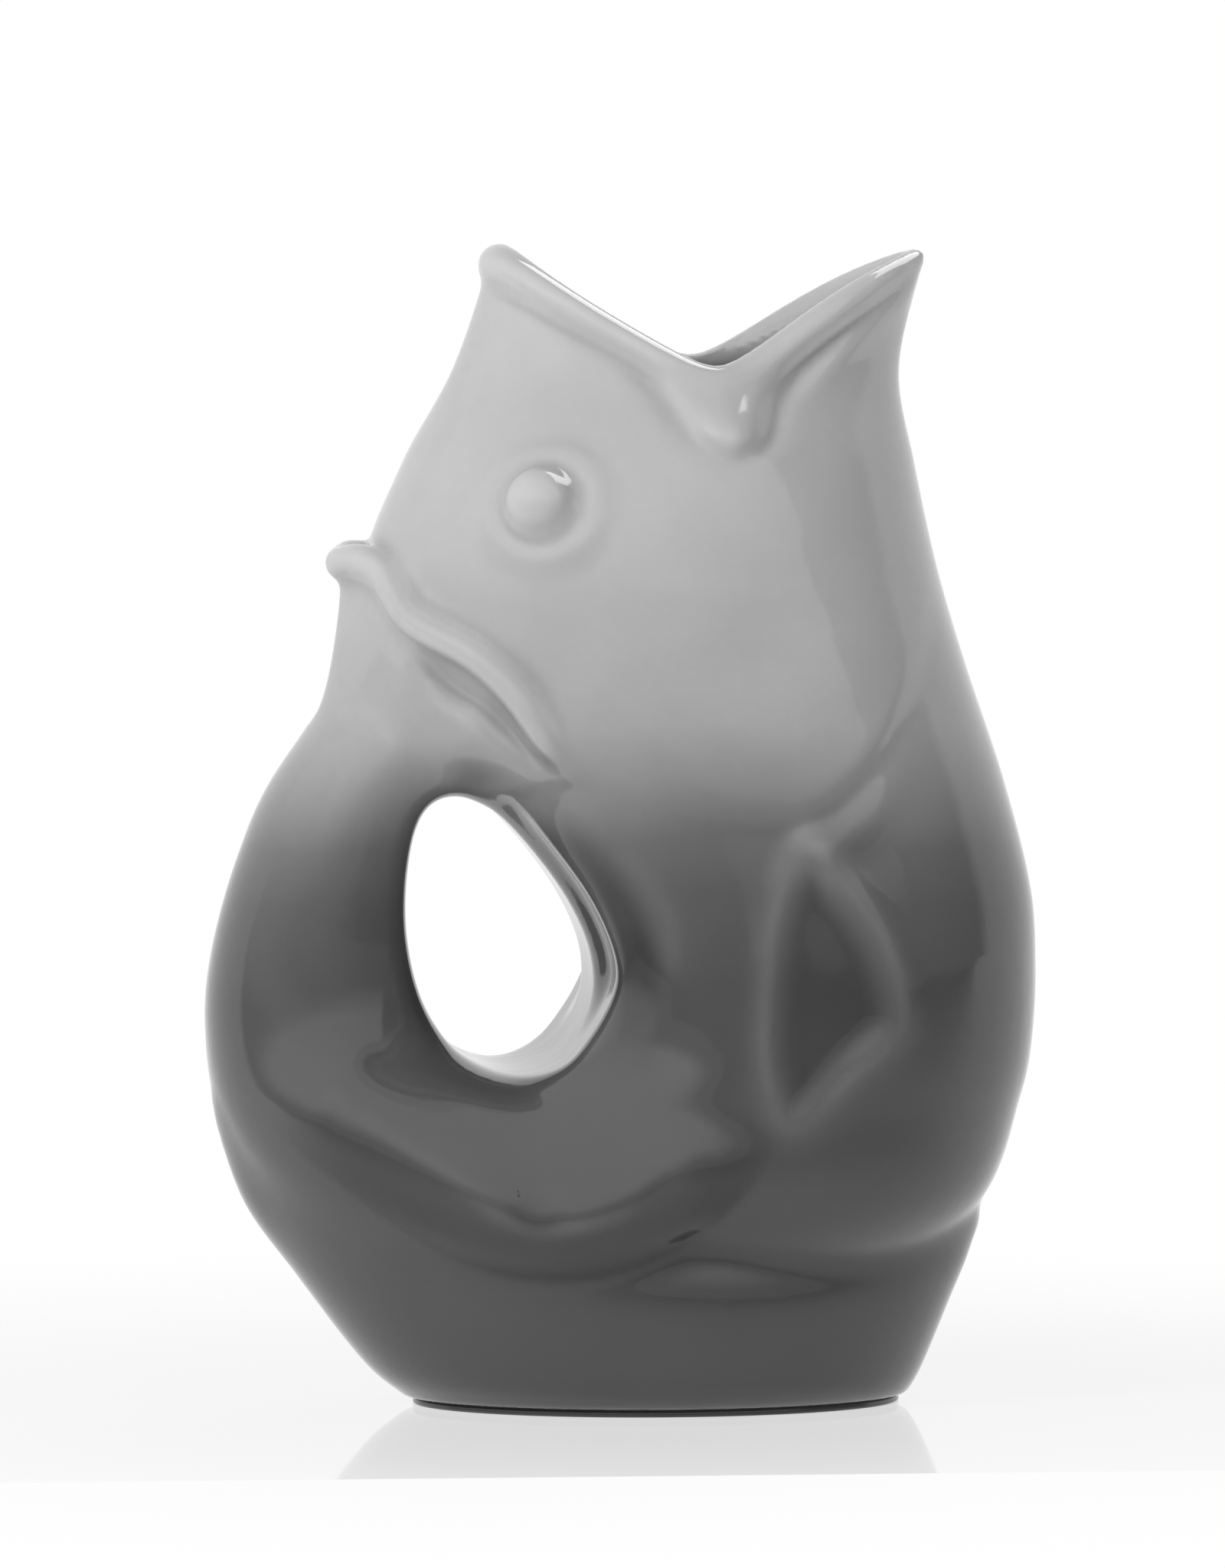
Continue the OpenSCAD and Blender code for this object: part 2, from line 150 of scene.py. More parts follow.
# Arm from the top of the pectoral fin up to the gill cover.
ARM = [(33, 122), (38, 126.5), (45, 130.5), (52, 136), (58, 143.5), (62, 152)]
# Fold below the lip, from the back of the mouth round the knob at its corner to the tip of the spout.
LIP_FOLD = [(-27, 249), (-14.5, 241.5), (-2, 234), (7, 224), (13, 216), (21.5, 212.5), (29, 216.5), (32, 225),
            (38, 233), (47.5, 242), (59, 251), (68, 259)]
# Ridge of the fish's flank beside the handle opening, from the fluke's tip down.
FLANK = [(-15, 143), (-7, 132), (2, 122), (8, 112.5), (9.5, 104), (8, 95.5), (4, 87), (-3, 79), (-12, 72)]
# Line where the tail's curl and the belly swell out above the bowl.
SMILE = [(-89, 76), (-82, 67), (-73, 58.5), (-52, 42.5), (-36, 34.5), (-20, 31.5), (-4, 33.5), (12, 41),
         (24, 53), (31, 66)]
# Handle opening seen from the side.
HOLE = [(-40, 138.4), (-31.5, 136.4), (-21.5, 126.7), (-12, 113.6), (-6.8, 100.5), (-7.6, 88.5), (-15, 77.8),
        (-27, 74.4), (-38.4, 79.6), (-46.2, 90.4), (-50, 107), (-49.2, 124), (-45.6, 135.4)]
# Outline of a pectoral fin from its top round its back to its tip and up its front, as row, x and height.
FIN_X = 36.0
FIN_Z = 129.0
FIN_L = 62.0
FIN_W = 30.0
FIN = np.array([
    (0, FIN_X, FIN_Z),
    (1, FIN_X - 0.2 * FIN_W, FIN_Z - 0.21 * FIN_L),
    (2, FIN_X - 0.3 * FIN_W, FIN_Z - 0.5 * FIN_L),
    (3, FIN_X - 0.3 * FIN_W, FIN_Z - 0.8 * FIN_L),
    (4, FIN_X - 0.1 * FIN_W, FIN_Z - FIN_L),
    (5, FIN_X + 0.35 * FIN_W, FIN_Z - 0.83 * FIN_L),
    (6, FIN_X + 0.7 * FIN_W, FIN_Z - 0.65 * FIN_L),
    (7, FIN_X + 0.57 * FIN_W, FIN_Z - 0.36 * FIN_L),
    (8, FIN_X + 0.12 * FIN_W, FIN_Z - 0.06 * FIN_L),
    (9, FIN_X, FIN_Z),
], float)
FIN_SIDE = FIN[:-1, 1:]

# Grid that the casting is worked out on: its pitch, its lowest corner and its count of points.
PITCH = 1.25
LOW = np.array([-97.5, -62.5, -2.5])
COUNT = np.array([156, 101, 213])
LOW_CELL = tuple(int(round(v / PITCH)) for v in LOW)
# How many cells away from a surface its distance is worked out.
BAND = 12
# Planes that part the casting, each as a point and a normal: the bowl's top, the tail's root and its neck.
BASE_TOP = ((0, 0, 54.5), (0.123, 0, 1))
TAIL_ROOT = ((-28, 0, 70), (1, 0, 0))
NECK = ((-60, 0, 138), (0.35, 0, 0.94))
# Depth of the pieces that are lifted off the skin, and how far an eye's piece reaches from its centre.
PATCH_DEPTH = 1.8
EYE_PATCH_R = 9.4


def along(rows, u):
    """Values at the places u on a smooth curve through the rows."""
    u = np.atleast_1d(np.asarray(u, float))
    i = np.clip(np.searchsorted(rows[:, 0], u, side="right") - 1, 0, len(rows) - 2)
    slope = np.array([
        (rows[min(k + 1, len(rows) - 1)] - rows[max(k - 1, 0)])
        / (rows[min(k + 1, len(rows) - 1), 0] - rows[max(k - 1, 0), 0])
        for k in range(len(rows))
    ])
    d = (rows[i + 1, 0] - rows[i, 0])[:, None]
    t = (u - rows[i, 0])[:, None] / d
    return (rows[i] * (2 * t**3 - 3 * t**2 + 1) + slope[i] * d * (t**3 - 2 * t**2 + t)
            + rows[i + 1] * (3 * t**2 - 2 * t**3) + slope[i + 1] * d * (t**3 - t**2))


def lerp(a, b, t):
    return a + (b - a) * t


def smooth_step(low, high, v):
    t = np.clip((v - low) / (high - low), 0, 1)
    return t * t * (3 - 2 * t)


def hump(d, width):
    """A soft bump of height 1 that fades over the width."""
    return np.exp(-(d / width) ** 2)


def spot(X, Z, x, z, radius):
    """A soft round spot of height 1 on the grid seen from the side."""
    return np.exp(-((X - x) ** 2 + (Z - z) ** 2) / radius**2)


def rim_z(angle):
    """Height of the mouth's rim at an angle round it."""
    c = np.cos(angle)
    share = np.abs(c) ** np.where(c > 0, 2 / 1.6, 1.0)
    up = (np.sqrt(share**2 + 0.01) - 0.1) / (math.sqrt(1.01) - 0.1)
    return lerp(NOTCH_H, np.where(c > 0, SPOUT_H, LIP_H), up)


def fish_points(angle, z, inset):
    """Points on the fish's skin at angles round it and heights, drawn in by a thickness."""
    angle, z = np.broadcast_arrays(np.asarray(angle, float), np.asarray(z, float))
    v = along(FISH, z.ravel()).reshape(z.shape + (7,))
    c, s = np.cos(angle), np.sin(angle)
    front = c > 0
    square = np.where(front, v[..., 6], v[..., 5])
    reach = np.where(front, v[..., 3] - v[..., 2], v[..., 2] - v[..., 1]) - inset
    x = v[..., 2] + np.where(front, 1, -1) * reach * np.abs(c) ** (2 / square)
    y = np.sign(s) * (v[..., 4] - inset) * np.abs(s) ** (2 / square)
    return np.stack([x, y, z], -1)


def side_point(x, z, side):
    """Point on the fish's skin at a place seen from the side."""
    v = along(FISH, z)[0]
    front = x > v[2]
    square = v[6] if front else v[5]
    share = min(abs(x - v[2]) / (v[3] - v[2] if front else v[2] - v[1]), 1)
    return np.array([x, side * v[4] * (1 - share**square) ** (1 / square), z])


def turns(count):
    return 2 * math.pi * (np.arange(count) + 0.5) / count


def fish_rings(bottom, inset, rows, count):
    a = turns(count)[None]
    t = (np.arange(rows + 1) / rows)[:, None]
    return fish_points(np.repeat(a, rows + 1, 0), lerp(bottom, rim_z(a), t), inset)


def bowl_rings(rows, count):
    v = along(BOWL, 5 * np.arange(rows + 1) / rows)[:, :, None]
    a = turns(count)[None]
    share = (1 + np.cos(a)) / 2
    return np.stack([lerp(v[:, 1], v[:, 3], share), v[:, 5] * np.sin(a), lerp(v[:, 2], v[:, 4], share)], -1)


def tail_ring(u, count):
    """Ring across the tail at the place u, from the outside of the curl."""
    v = along(TAIL, u)[0]
    run = along(TAIL, u + 0.02)[0][1:3] - along(TAIL, u - 0.02)[0][1:3]
    run /= np.linalg.norm(run)
    a = 2 * math.pi * np.arange(count) / count
    power = 2 / v[5]
    across = -v[3] * np.sign(np.cos(a)) * np.abs(np.cos(a)) ** power
    aside = v[4] * np.sign(np.sin(a)) * np.abs(np.sin(a)) ** power
    return np.stack([v[1] + across * run[1], aside, v[2] - across * run[0]], -1)


def fluke_points(rows, share, side):
    """Points along rows of the fluke's edge, on one side of the jug, at shares of the rows' length."""
    v = along(rows, np.asarray(share, float) * (len(rows) - 1))
    p = fish_points(np.radians(180 - FLUKE_WRAP * v[:, 1]), v[:, 2], -v[:, 3])
    return p * np.array([1, side, 1])


def fluke_rings(rows, steps):
    """Rings of the fluke from inside the head out to its rim, and back to the neck of the tail."""
    t = np.arange(steps) / steps
    rim = np.concatenate([
        fluke_points(FLUKE_RIM, t, 1), fluke_points(FLUKE_UNDER, t, 1),
        fluke_points(FLUKE_UNDER, 1 - t, -1), fluke_points(FLUKE_RIM, 1 - t, -1),
    ])
    neck = tail_ring(5, 4 * steps)
    swing = rim.mean(0) - neck.mean(0)
    hollow = lerp(*FLUKE_HOLLOW, np.concatenate([t, 1 - t, t, 1 - t]))[:, None]
    heart = rim.mean(0) + np.array([HEAD_BACK / 5, 0, 0])
    rings = [lerp(rim, heart, 0.25)]
    for i in range(rows + 1):
        u = 1 - i / rows
        rings.append(lerp(neck, rim, u) - (rim - neck - swing) * hollow * u * (1 - u))
    return np.array(rings)


def grid_axes():
    return [LOW[k] + PITCH * np.arange(COUNT[k]) for k in range(3)]


def distance(rings, lid=None):
    """Signed distance on the grid from the closed surface through rings of equally many points."""
    rows, count, _ = rings.shape
    ends = np.array([rings[0].mean(0), rings[-1].mean(0) if lid is None else lid])
    points = np.concatenate([rings.reshape(-1, 3), ends]).astype(np.float32)
    i, j = np.meshgrid(np.arange(rows - 1), np.arange(count), indexing="ij")
    a, b = i * count + j, i * count + (j + 1) % count
    quads = np.stack([a, b, b + count, a + count], -1).reshape(-1, 4).astype(np.uint32)
    j = np.arange(count)
    k = (j + 1) % count
    last = (rows - 1) * count
    caps = np.concatenate([
        np.stack([np.full(count, rows * count), k, j], -1),
        np.stack([np.full(count, rows * count + 1), last + j, last + k], -1),
    ]).astype(np.uint32)
    grid = openvdb.FloatGrid.createLevelSetFromPolygons(
        points, triangles=caps, quads=quads,
        transform=openvdb.createLinearTransform(voxelSize=PITCH), halfWidth=BAND)
    values = np.zeros(COUNT, np.float32)
    grid.copyToArray(values, ijk=LOW_CELL)
    return values


def join(a, b, k):
    """Union of two solids with a soft fillet."""
    h = np.maximum(k - np.abs(a - b), 0) / k
    return np.minimum(a, b) - h * h * k / 4


def soft_cut(a, b, k):
    """What is left of a where b is cut away, with a rounded edge."""
    return -join(-a, b, k)


def spline(points, count):
    """Points on a smooth curve through the points given."""
    rows = np.array([(i,) + tuple(p) for i, p in enumerate(points)], float)
    return along(rows, np.linspace(0, len(points) - 1, count))[:, 1:]


def side_line(points, count=80, closed=False):
    """On the grid seen from the side: distance from a curve, positive on its left, and the place along it.

    A closed curve's distance is positive inside it."""
    line = spline(list(points) + list(points[:1]) if closed else points, count)
    ax, _, az = grid_axes()
    X, Z = np.meshgrid(ax, az, indexing="ij")
    best = np.full(X.shape, 1e9)
    signed = np.zeros(X.shape)
    place = np.zeros(X.shape)
    inside = np.zeros(X.shape, bool)
    for i in range(count - 1):
        a, run = line[i], line[i + 1] - line[i]
        t = np.clip(((X - a[0]) * run[0] + (Z - a[1]) * run[1]) / (run @ run), 0, 1)
        dx, dz = X - a[0] - t * run[0], Z - a[1] - t * run[1]
        d = np.hypot(dx, dz)
        closer = d < best
        side = np.where(run[0] * dz - run[1] * dx >= 0, 1, -1)
        best[closer] = d[closer]
        signed[closer] = (side * d)[closer]
        place[closer] = ((i + t) / (count - 1))[closer]
        if run[1]:
            crossing = a[0] + run[0] * (Z - a[1]) / run[1]
            inside ^= ((a[1] > Z) != (a[1] + run[1] > Z)) & (X < crossing)
    if closed:
        signed = np.where(inside, best, -best)
    return signed.astype(np.float32)[:, None], place.astype(np.float32)[:, None]


def near_line(points, low, high):
    """Distance from a chain of points and the place along it, on the grid's cells between two corners."""
    axes = grid_axes()
    first = [max(int((low[k] - LOW[k]) / PITCH), 0) for k in range(3)]
    last = [min(int((high[k] - LOW[k]) / PITCH) + 2, COUNT[k]) for k in range(3)]
    spans = [slice(first[k], last[k]) for k in range(3)]
    X, Y, Z = np.meshgrid(*[axes[k][spans[k]] for k in range(3)], indexing="ij")
    cells = np.stack([X, Y, Z], -1).astype(np.float32)
    best = np.full(X.shape, 1e9, np.float32)
    place = np.zeros(X.shape, np.float32)
    for i in range(len(points) - 1):
        a, b = points[i].astype(np.float32), points[i + 1].astype(np.float32)
        run = b - a
        t = np.clip(((cells - a) @ run) / max(float(run @ run), 1e-9), 0, 1)
        d = np.linalg.norm(cells - a - t[..., None] * run, axis=-1)
        closer = d < best
        best[closer] = d[closer]
        place[closer] = (i + t[closer]) / (len(points) - 1)
    return tuple(spans), best, place


def line_bounds(points, margin):
    return points.min(0) - margin, points.max(0) + margin


def soften(values, times):
    """Values averaged with their neighbours a number of times."""
    for _ in range(times):
        for axis in range(3):
            values = 0.25 * np.roll(values, 1, axis) + 0.5 * values + 0.25 * np.roll(values, -1, axis)
    return values


def build_field():
    """Signed distances of the casting, its skin, its inside and the plain fish, and a tone painted into the
    glaze.

    The glaze is darker where the last is above 0, and lighter where it is below: painted shade under the
    tail's swell and in the flank's recess, painted light beside the opening, and a lighter bead round a
    darker hollow on the fins."""
    X, Y, Z = [a.astype(np.float32) for a in np.meshgrid(*grid_axes(), indexing="ij")]
    side = np.abs(Y)
    fish = distance(fish_rings(FISH_BOTTOM, 0, 220, 240), (CORNER_X, 0, NOTCH_H))
    # The fish's inside goes on above the rim, so that the mouth is open.
    inner = fish_rings(FISH_BOTTOM + WALL, WALL, 200, 200)
    top = inner[-1].copy()
    top[:, 2] = SPOUT_H + 3 * LIP_R
    fish_in = distance(np.concatenate([inner, top[None]]))
    bowl = distance(bowl_rings(80, 200))
    tail = distance(np.array([tail_ring(u, 160) for u in np.linspace(5, 0, 140)]))
    fluke = distance(fluke_rings(60, 60))

    # The handle opening: a collar and a wall fill the skin out to its outline, which is cut through them.
    body = join(fish, bowl, 4)
    near_hole = spot(X, Z, -30, 74, 20)
    body = join(body, tail, 7 + 16 * near_hole - 4.5 * smooth_step(72, 86, -X))
    inside, _ = side_line(HOLE, 160, True)
    collar = np.sqrt((inside + 12) ** 2 + (Y / 1.8) ** 2) - 12
    body = join(body, np.where(X < 0, collar, 99), 12)
    half_depth = 45 - 22 * (1 - smooth_step(-42, -8, X))
    wall = soft_cut(-inside - 15, half_depth - side, 8)
    body = join(body, wall + 1.0, 6)
    flare = np.maximum(side - 37, 0) ** 2 / 14
    body = soft_cut(body, 1.0 - inside - flare, 4)

    # The skin is smoothed on the tail's side of the opening and below it, and painted light makes the glaze
    # lighter beside it.
    share = (1 - smooth_step(8, 22, -inside)) * (1 - smooth_step(-32, -14, X))
    share = np.maximum(share, spot(X, Z, -24, 48, 6))
    body = lerp(body, soften(body, 14), share)
    # Painted light: a band beside the opening whose glaze colour is made lighter.
    thin = hump(inside + 4, 7) * (1 - smooth_step(-49, -42, X))

    # The cheek stands out above the edge of the gill cover.
    s, t = side_line(GILL)
    ends = smooth_step(0.02, 0.12, t) * (1 - smooth_step(0.72, 0.98, t))
    body = body - (1.9 * smooth_step(-2.5, 3, s) * (1 - smooth_step(12, 40, s)) * ends
                   * smooth_step(10, 30, side))
    s, t = side_line(ARM)
    ends = smooth_step(0, 0.2, t) * (1 - smooth_step(0.5, 1, t))
    body = body - 1.3 * hump(s, 4.5) * ends * smooth_step(20, 30, side)

    # The flank falls away from its ridge towards the handle opening, and painted shade darkens the glaze
    # there, where the tail shades the flank.
    s, t = side_line(FLANK)
    fall = 0.3 * (np.sqrt(np.minimum(s, 0) ** 2 + 0.6) - 0.7) * (s < 0)
    fall = np.minimum(fall, 3.4) * (1 - smooth_step(16, 26, -s)) * (1 - smooth_step(0.62, 0.95, t))
    body = body + fall * smooth_step(14, 26, side)
    ends = smooth_step(0, 0.1, t) * (1 - smooth_step(0.7, 1, t))
    recess = smooth_step(1, 9, -s) * (1 - smooth_step(16, 30, -s)) * ends
    # Painted shade darkens the flank's recess, and painted light lightens the band beside the opening.
    painted_shading_tone = 0.75 * recess * smooth_step(24, 34, side) - 2.4 * thin

    # The tail's curl swells out over the bowl.
    s, t = side_line(SMILE)
    swell = 3.8 * (1 - (1 - np.clip(s / 16, 0, 1)) ** 2) * (1 - smooth_step(14, 30, s))
    ends = smooth_step(0.05, 0.35, t) * (1 - smooth_step(0.8, 1, t))
    # Painted shade darkens the glaze just above the line, under the swell.
    below = ends * smooth_step(-1, 0.6, s) * (1 - smooth_step(1, 17, s))
    painted_shading_tone = np.maximum(painted_shading_tone, below * smooth_step(10, 26, side))
    body = body - swell * smooth_step(0, 0.2, t) * (1 - smooth_step(0.8, 1, t)) * smooth_step(10, 26, side)

    # The fish's lips: a band above the fold, with a knob at the corner of the mouth.
    s, t = side_line(LIP_FOLD)
    spout = smooth_step(0.62, 0.8, t)
    band = 1.5 * smooth_step(-0.5, 5, s) * (1 - 0.5 * spout)
    groove = (0.9 + 0.7 * spout) * hump(s, 2.6) - 0.9 * spout * hump(s + 5.5, 2.6)
    above = (np.abs(s) < 30) * smooth_step(196, 206, Z)
    body = body - (band - groove) * above * smooth_step(2, 7, side)
    knob = 2.4 * spot(X, Z, CORNER_X + 1, NOTCH_H - 9, math.sqrt(85))
    body = body - knob * smooth_step(6, 16, side)

    # Eyes: a ball on a low round plateau, with a groove between.
    for sign in (-1, 1):
        c = side_point(EYE[0], EYE[1], sign)
        d = np.sqrt((X - c[0]) ** 2 + (Y - c[1]) ** 2 + (Z - c[2]) ** 2)
        plateau = 1.5 * (1 - smooth_step(11.5, 18, d)) - 0.9 * hump(d - 9.8, 1.8)
        body = body - np.where(Y * sign > 0, plateau, 0)
        sunk = c[1] - sign * (EYE_SINK - 1.3)
        ball = np.sqrt((X - c[0]) ** 2 + (Y - sunk) ** 2 + (Z - c[2]) ** 2) - EYE_R
        body = join(body, ball, 1.2)

    # Pectoral fins: a broad soft bead coloured lighter, round a hollow coloured darker.
    loop = along(FIN, np.linspace(0, len(FIN) - 1, 73))
    outline, _ = side_line(FIN_SIDE, 120, True)
    for sign in (-1, 1):
        line = np.array([side_point(p[1], p[2], sign) for p in loop])
        low, high = line_bounds(line, 12)
        cells, d, _ = near_line(line, low, high)
        body[cells] -= 1.3 * hump(d, 4.3)
        painted_shading_tone[cells] -= 1.1 * hump(d, 3.2)
    body = body + 1.3 * smooth_step(-2, 9, outline) * smooth_step(20, 30, side)
    painted_shading_tone = painted_shading_tone + 0.5 * smooth_step(3, 9, outline) * smooth_step(20, 30, side)

    # The fluke joins the tail and the back of the head, with a rolled edge over a hollow.
    near_neck = spot(X, Z, -58, 148, 15)
    body = join(body, fluke, 6 - 5.5 * near_neck)
    inside, _ = side_line(DISH, 120, True)
    body = body + 3.4 * smooth_step(-1, 5, inside) * smooth_step(10, 18, side)
    t = np.linspace(-1, 1, 97)
    edge = np.concatenate([fluke_points(FLUKE_RIM, -t[t < 0], -1), fluke_points(FLUKE_RIM, t[t >= 0], 1)])
    low, high = line_bounds(edge, 10)
    cells, d, place = near_line(edge, low, high)
    radius = (FLUKE_EDGE_R + 1.2) * (1 - 0.75 * smooth_step(0.8, 1, np.abs(2 * place - 1)))
    body[cells] = join(body[cells], d - radius, 2.0)

    # The space inside keeps a thin wall below the skin, but not at the mouth, and ends at the floor.
    cavity = join(join(fish_in, bowl + WALL, 8), tail + WALL, 8)
    cavity = np.maximum(cavity, body + THIN_WALL - 60 * smooth_step(206, 222, Z))
    cavity = np.maximum(cavity, FLOOR_Z - Z)

    # The rolled lip is thick at the back and thin at the spout.
    a = np.linspace(0, 2 * math.pi, 193)
    at_back = np.maximum(-np.cos(a), 0) ** 4
    rim = fish_points(a, rim_z(a) - 1.2 - 0.6 * at_back, WALL / 2)
    low, high = line_bounds(rim, 9)
    cells, d, place = near_line(rim, low, high)
    around = np.cos(2 * math.pi * place)
    radius = lerp(LIP_R + 0.6, SPOUT_TIP_R, np.maximum(around, 0) ** 6) + 0.9 * np.maximum(-around, 0) ** 4
    body[cells] = join(body[cells], d - radius, 2.0)
    solid = np.maximum(body, -cavity)
    solid[cells] = join(solid[cells], d - radius, 0.6)

    # All is smoothed a little, and more at the neck, beside the opening and at the fluke's tip.
    near_kink = spot(X, Z, -44, 80, 9)
    near_tip = spot(X, Z, -18, 138, 7)
    share = np.minimum(1.3 * near_neck + 1.3 * near_kink + near_tip, 1)
    made = []
    for values in (solid, body, -cavity):
        values = soften(values, 1)
        made.append(lerp(values, soften(values, 8), share).astype(np.float32))
    return made + [fish.astype(np.float32), painted_shading_tone.astype(np.float32)]


def sample(values, points):
    """Values between the grid's points."""
    f = (points - LOW) / PITCH
    i = np.clip(np.floor(f).astype(int), 0, COUNT - 2)
    t = f - i
    total = 0
    for dx in (0, 1):
        for dy in (0, 1):
            for dz in (0, 1):
                w = (np.where(dx, t[:, 0], 1 - t[:, 0]) * np.where(dy, t[:, 1], 1 - t[:, 1])
                     * np.where(dz, t[:, 2], 1 - t[:, 2]))
                part = values[i[:, 0] + dx, i[:, 1] + dy, i[:, 2] + dz]
                total = total + (w[:, None] * part if part.ndim > 1 else w * part)
    return total


def slope_of(values):
    """Which way values on the grid grow, and how fast."""
    return np.stack(np.gradient(values, PITCH), -1).astype(np.float32)


field, skin_field, hollow_field, fish_field, painted_shading_field = build_field()
slope = slope_of(field)
skin_slope = slope_of(skin_field)
hollow_slope = slope_of(hollow_field)
fish_slope = slope_of(fish_field)


def bending():
    """How sharply the skin bends out, in one over millimetres: ridges are positive and creases negative."""
    way = np.gradient(soften(skin_field, 2), PITCH)
    size = np.sqrt(sum(w * w for w in way)) + 1e-6
    return soften(sum(np.gradient(way[k] / size, PITCH, axis=k) for k in range(3)), 1).astype(np.float32)


bend = bending()


def project(points):
    """Points moved onto the surface of the casting."""
    for _ in range(3):
        g = sample(slope, points)
        points = points - g * (sample(field, points) / np.maximum((g * g).sum(1), 0.05))[:, None]
    return points


def unit(v):
    return v / np.maximum(np.linalg.norm(v, axis=-1, keepdims=True), 1e-9)


def skin_mesh():
    """The surface of the casting as one mesh, with a layer that marks faces made by cuts."""
    grid = openvdb.FloatGrid(3 * PITCH)
    grid.transform = openvdb.createLinearTransform(voxelSize=PITCH)
    grid.copyFromArray(np.clip(field, -3 * PITCH, 3 * PITCH), ijk=LOW_CELL, tolerance=1e-6)
    points, quads = grid.convertToQuads()
    bm = bmesh.new()
    verts = [bm.verts.new(p) for p in project(np.asarray(points, float)).tolist()]
    for q in np.asarray(quads, int).tolist():
        bm.faces.new([verts[k] for k in q])
    if bm.calc_volume(signed=True) < 0:
        bmesh.ops.reverse_faces(bm, faces=bm.faces[:])
    bm.faces.layers.int.new("cut_face")
    return bm


def cut(bm, origin, normal, near=None):
    """Cuts a closed mesh along a plane and closes both sides. near picks the faces that may be cut."""
    origin, normal = Vector(origin), Vector(normal).normalized()
    layer = bm.faces.layers.int["cut_face"]
    faces = [f for f in bm.faces if near is None or near(f.calc_center_median())]
    geometry = list({v for f in faces for v in f.verts}) + list({e for f in faces for e in f.edges}) + faces
    found = bmesh.ops.bisect_plane(bm, geom=geometry, plane_co=origin, plane_no=normal, dist=1e-5)
    seam = [e for e in found["geom_cut"] if isinstance(e, bmesh.types.BMEdge)]
    bmesh.ops.split_edges(bm, edges=seam)
    for side in (1, -1):
        rim = [e for e in bm.edges if e.is_boundary
               and (e.link_faces[0].calc_center_median() - origin).dot(normal) * side > 0]
        filled = bmesh.ops.triangle_fill(bm, use_beauty=True, use_dissolve=False, edges=rim, normal=normal)
        for f in filled["geom"]:
            if isinstance(f, bmesh.types.BMFace):
                f[layer] = 1
                f.normal_update()
                if f.normal.dot(normal) * side > 0:
                    f.normal_flip()


def shells(bm):
    """Groups of faces that hang together."""
    seen, groups = set(), []
    for start in bm.faces:
        if start in seen:
            continue
        group, waiting = [], [start]
        seen.add(start)
        while waiting:
            f = waiting.pop()
            group.append(f)
            for e in f.edges:
                for g in e.link_faces:
                    if g not in seen:
                        seen.add(g)
                        waiting.append(g)
        groups.append(group)
    return groups


def as_arrays(faces):
    """Points and faces of a group of faces."""
    index, points, out = {}, [], []
    for f in faces:
        row = []
        for v in f.verts:
            if v not in index:
                index[v] = len(points)
                points.append(v.co[:])
            row.append(index[v])
        out.append(row)
    return np.array(points), out


casting = skin_mesh()
cut(casting, *BASE_TOP)
cut(casting, *TAIL_ROOT, near=lambda c: -40 < c.x < -16 and 50 < c.z < 84)
cut(casting, *NECK, near=lambda c: c.x < -43 and 118 < c.z < 152 and abs(c.y) < 34)


def behind(point, plane):
    """Whether a point is on the side of a plane that its normal points away from."""
    origin, normal = plane
    return (point - Vector(origin)).dot(Vector(normal)) < 0


def where(point):
    """The piece that a point of the cut casting belongs to."""
    if behind(point, BASE_TOP):
        return "base_bowl"
    if behind(point, TAIL_ROOT) and behind(point, NECK) and point.z < 150:
        return "tail_handle"
    return "body_shell"


groups = {}
for group in shells(casting):
    votes = [where(f.calc_center_median()) for f in group[:: max(len(group) // 50, 1)]]
    groups.setdefault(max(set(votes), key=votes.count), []).extend(group)


class Piece:
    """Points in millimetres, faces, and which faces are inside the wall where pieces meet."""

    def __init__(self, points, faces, hidden):
        self.points, self.faces, self.hidden = points, faces, hidden


def piece_of(group):
    points, faces = as_arrays(group)
    layer = casting.faces.layers.int["cut_face"]
    return Piece(points, faces, [bool(f[layer]) for f in group])


def normals_at(points):
    """Directions out of the casting, each taken from whichever of its skin and its hollow is there."""
    apart = np.abs(sample(skin_field, points)) - np.abs(sample(hollow_field, points))
    share = smooth_step(-0.4, 0.4, apart)[:, None]
    return unit(lerp(unit(sample(skin_slope, points)), unit(sample(hollow_slope, points)), share))


